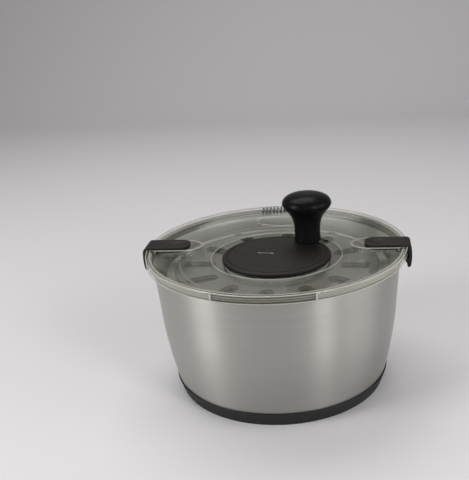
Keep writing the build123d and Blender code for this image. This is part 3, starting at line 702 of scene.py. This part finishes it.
def make_lid_edge_highlights():
    """Painted highlight lines along the rounded edges of the lid's rim, recess, rib, pour well and latch
    housings.
    """
    material = edge_painted_highlight()
    add_edge("rim_outer_edge", circle_path(RIM_EDGE_R, 145.45), 0.45, True, material)
    add_edge("rim_inner_edge", circle_path(126.9, 145.6), 0.4, True, material)
    add_edge("skirt_edge", circle_path(130.5, 138.0), 0.45, True, material)
    add_edge("recess_edge", circle_path(66.3, 134.6, 160), 0.4, True, material)
    add_edge("under_rib_edge", circle_path(98.1, 131.6), 0.7, True, material)
    well = []
    well_steps = 72
    for i in range(well_steps):
        angle = 2 * math.pi * i / well_steps
        x, y = pour_well_place(angle)
        well.append((x, y, dish_height(math.hypot(x, y))))
    add_edge("pour_well_edge", well, 0.45, True, material)
    for name, turn in (("right", 1), ("left", -1)):
        half = 15.2
        curve = [(74.7, 0), (75.6, 3.6), (77.8, 7.4), (81.6, 11.0), (86.4, 13.9), (91.6, half)]
        plan = [(123.5, -half), (108.0, -half)] + [(x, -y) for x, y in curve[::-1]] + curve[1:]
        plan += [(108.0, half), (123.5, half)]
        path = [(turn * x, turn * y, 145.6) for x, y in plan]
        add_edge(f"housing_edge_{name}", path, 0.5, False, material)


def make_rim_lining():
    """Underside of the rim and inner face of the skirt, where the thick moulding looks greenish."""
    section = sheet([(125.0, 143.45), (128.55, 143.45), (128.55, 138.3)], 0.2)
    lining = new_piece("rim_lining", turned(section), milky_lining())
    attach(lining, "lid")


def milky_lining():
    """Thick clear moulding seen through its surface, pale and slightly green."""
    material, shader = new_material("milky_lining", (0.40, 0.395, 0.33), 0.35)
    cloud = noise(material, (60, 60, 60), 3.0)
    link(material, ranged(material, cloud, 0.48, 0.62), shader.inputs["Alpha"])
    link(material, ranged(material, cloud, 0.3, 0.45), shader.inputs["Roughness"])
    return material


def make_grip_lines():
    """Grooves across the front of the rim, drawn as near-black lines of painted shade, and the upright
    notch at each end of them, a pale strip of painted highlight.
    """
    # Near-black groove lines: painted shade.
    dark = dark_painted_shade()
    grooves = (
        (RIM_EDGE_R, 139.6, 0.38),
        (130.6, 141.8, 0.2),
        (RIM_EDGE_R, 144.0, 0.28),
        (128.7, 145.4, 0.3),
    )
    for number, (radius, z, thickness) in enumerate(grooves):
        flat = arc((0, 0), radius, -90 - GRIP_SECTOR, -90 + GRIP_SECTOR, 40)
        path = [(x, y, z) for x, y in flat]
        add_edge(f"grip_groove_{number + 1}", path, thickness, False, dark)
    # Pale notch strips: painted highlight.
    light = edge_painted_highlight()
    section = [(129.9, 137.9), (130.8, 137.9), (130.8, 145.5), (129.9, 145.5)]
    for name, turn in (("left", -GRIP_NOTCH), ("right", GRIP_NOTCH)):
        mesh = prism(section, -0.75, 0.75, standing)
        mesh.transform(Matrix.Rotation(math.radians(turn - 90), 4, "Z"))
        notch = new_piece(f"grip_notch_{name}", mesh, light)
        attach(notch, "lid")


def make_strainer_linings():
    """Thin near-black wall inside each hole of the strainer's two rows, painted shade for the dark holes.
    """
    count, pitch, sides = 14, 4.1, 16
    mesh = bmesh.new()
    for hole_r, low, high in ((128.0, 143.8, 145.8), (121.8, 141.6, 143.6)):
        for i in range(count):
            turn = math.radians(90) + pitch / hole_r * (i - (count - 1) / 2)
            x, y = hole_r * math.cos(turn), hole_r * math.sin(turn)
            rings = []
            for reach, z in ((1.08, low), (1.08, high), (0.7, high), (0.7, low)):
                circle = arc((x, y), reach, 0, 360 - 360 / sides, sides - 1)
                rings.append([mesh.verts.new(Vector((a, b, z)) * MM) for a, b in circle])
            join_rings(mesh, rings)
    linings = new_piece("strainer_linings", mesh, dark_painted_shade())
    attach(linings, "lid")


def make_slot_collars():
    """Short near-black wall round each radial slot of the drive plate, painted shade for the slots' dark
    sides.
    """
    inner_r, outer_r, half, wall = 71.0, 90.0, 5.3, 1.5
    low, high = 118.6, 124.0
    mesh = bmesh.new()
    for i in range(PLATE_SLOTS):
        turn = Matrix.Rotation(math.radians(360 / PLATE_SLOTS * i + PLATE_SLOT_START), 3, "Z")
        rings = []
        for reach in (half, half + wall):
            plan = arc((outer_r, 0), reach, -90, 90, 8) + arc((inner_r, 0), reach, 90, 270, 8)
            for z in (low, high):
                rings.append([mesh.verts.new(turn @ Vector((x, y, z)) * MM) for x, y in plan])
        join_rings(mesh, [rings[0], rings[1], rings[3], rings[2]])
    piece = new_piece("slot_collars", mesh, dark_painted_shade())
    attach(piece, "drive")


def dark_painted_shade():
    """Painted shade: near-black for thick clear walls seen edge on, which look dark."""
    material, shader = new_material("dark_painted_shade", (0.008, 0.008, 0.007), 0.3)
    cloud = noise(material, (60, 60, 60), 3.0)
    link(material, ranged(material, cloud, 0.88, 1.0), shader.inputs["Alpha"])
    link(material, ranged(material, cloud, 0.25, 0.4), shader.inputs["Roughness"])
    return material


def knob_place():
    """The knob axis in millimetres, from the CAD grip's box."""
    low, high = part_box("knob_grip")
    middle = (low + high) / 2 / MM
    return middle.x, middle.y


def make_knob():
    """Mushroom knob: a waisted grip and a domed cap, with a fine seam between them."""
    foot, seam, top = 137.4, 177.5, 188.0
    waist = [(14.0, foot + 0.7), (13.6, foot + 5.0), (13.5, foot + 13.5), (14.3, seam - 20.3)]
    flare = [(15.7, seam - 15.4), (17.8, seam - 11.6), (20.9, seam - 7.6)]
    shoulder = [(23.8, seam - 4.0), (25.2, seam - 1.6), (25.6, seam - 0.5)]
    side = smooth_line(waist + flare + shoulder, 6)
    grip = [(3.1, foot), (13.3, foot), (13.8, foot + 0.2)] + side
    grip += [(25.45, seam - 0.15), (25.2, seam - 0.02)]
    grip += [(20.0, seam - 0.02), (20.0, seam - 3.6), (3.1, seam - 3.6)]
    place = knob_place()
    add_piece("knob_grip_body", turned(grip, place, 128), "black_gloss", "knob", "knob_grip")
    brim = [(25.2, seam + 0.02), (25.45, seam + 0.25), (25.3, seam + 1.4), (24.0, seam + 4.0)]
    dome = [(21.6, seam + 6.2), (17.6, seam + 8.2), (12.0, seam + 9.7), (6.0, seam + 10.35), (0, top)]
    crown = smooth_line(brim + dome, 6)
    inside = [(0, top - 3), (12, top - 4), (17.6, seam + 3)]
    inside += [(17.6, seam - 3.55), (19.95, seam - 3.55), (19.95, seam + 0.02)]
    add_piece("knob_cap_dome", turned(crown + inside, place, 128), "black_gloss", "knob", "knob_cap")


def latch_side():
    """Outline of a latch seen from the side, as (distance from the centre, height)."""
    corner = 4.2
    arm_top = [(LATCH_TIP_R, 144.0), (LATCH_TIP_R, LATCH_TOP_Z)]
    arm_top += arc((130.3, LATCH_TOP_Z - corner), corner, 90, 8, 8)
    leg = [(134.75, 141.0), (134.95, 138.0), (LATCH_OUT_R, 135.0)]
    leg += [(134.9, 132.0), (134.6, 129.0), (134.1, 126.0)]
    foot = [(133.2, 124.9), (131.6, 124.6), (130.7, 125.6), (130.3, 128.6)]
    hook = [(LATCH_HOOK_R, 132.6), (LATCH_HOOK_R, 134.4), (131.9, 134.4)]
    arm_under = [(131.9, 141.6), (130.6, 142.9), (104.0, 142.7), (95.0, 143.2)]
    return arm_top + leg + foot + hook + arm_under


def latch_plan():
    """Outline of a latch seen from above, with the two inner corners rounded."""
    corner = 10.5
    turn_x = LATCH_TIP_R + corner
    turn_y = LATCH_HALF - corner
    plan = arc((turn_x, turn_y), corner, 90, 180, 14)
    plan += arc((turn_x, -turn_y), corner, 180, 270, 14)
    return plan + [(140, -LATCH_HALF), (140, LATCH_HALF)]


def thumb_dish():
    """Flattened ball whose lowest part makes the shallow dish on a latch."""
    ball = bmesh.new()
    bmesh.ops.create_icosphere(ball, subdivisions=5, radius=1.0)
    size = Vector((19.0, 15.5, 10.0))
    depth = 1.7
    middle = Vector((101.5, 0, LATCH_TOP_Z + size.z - depth))
    for vert in ball.verts:
        vert.co = (vert.co * size + middle) * MM
    return ball


def make_latch(side_name, turn):
    """Rocking latch: rounded arm with a shallow thumb dish, pivot barrel, leg and hook."""
    material = materials["black_satin"]
    body = new_piece("latch_side", prism(latch_side(), -LATCH_HALF, LATCH_HALF, standing), material)
    combine(body, new_piece("latch_plan", prism(latch_plan(), 120, 150, lying), material), "INTERSECT")
    combine(body, new_piece("thumb_dish", thumb_dish(), material), "DIFFERENCE")
    soften(body, 1.1 * MM, 4)
    barrel_outline = arc((121.5, 143.0), 2.5, 200, 340, 10)
    barrel_half = LATCH_HALF - 0.3
    barrel = new_piece("barrel", prism(barrel_outline, -barrel_half, barrel_half, standing), material)
    combine(body, barrel, "UNION")
    body.name = f"latch_{side_name}_pad"
    body.data.transform(Matrix.Rotation(math.radians(turn), 4, "Z"))
    for face in body.data.polygons:
        face.use_smooth = True
    body.data.set_sharp_from_angle(angle=math.radians(35))
    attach(body, f"latch_{side_name}")
    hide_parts(f"latch_{side_name}")


paint_cad_nodes()
make_bowl()
make_base_ring()
make_crank_disc()
make_turn_mark()
make_lid_edge_highlights()
make_rim_lining()
make_grip_lines()
make_strainer_linings()
make_slot_collars()
make_knob()
make_latch("right", 0)
make_latch("left", 180)
bpy.context.scene.view_settings.view_transform = "Standard"
add_camera()
add_lights()
add_stage()
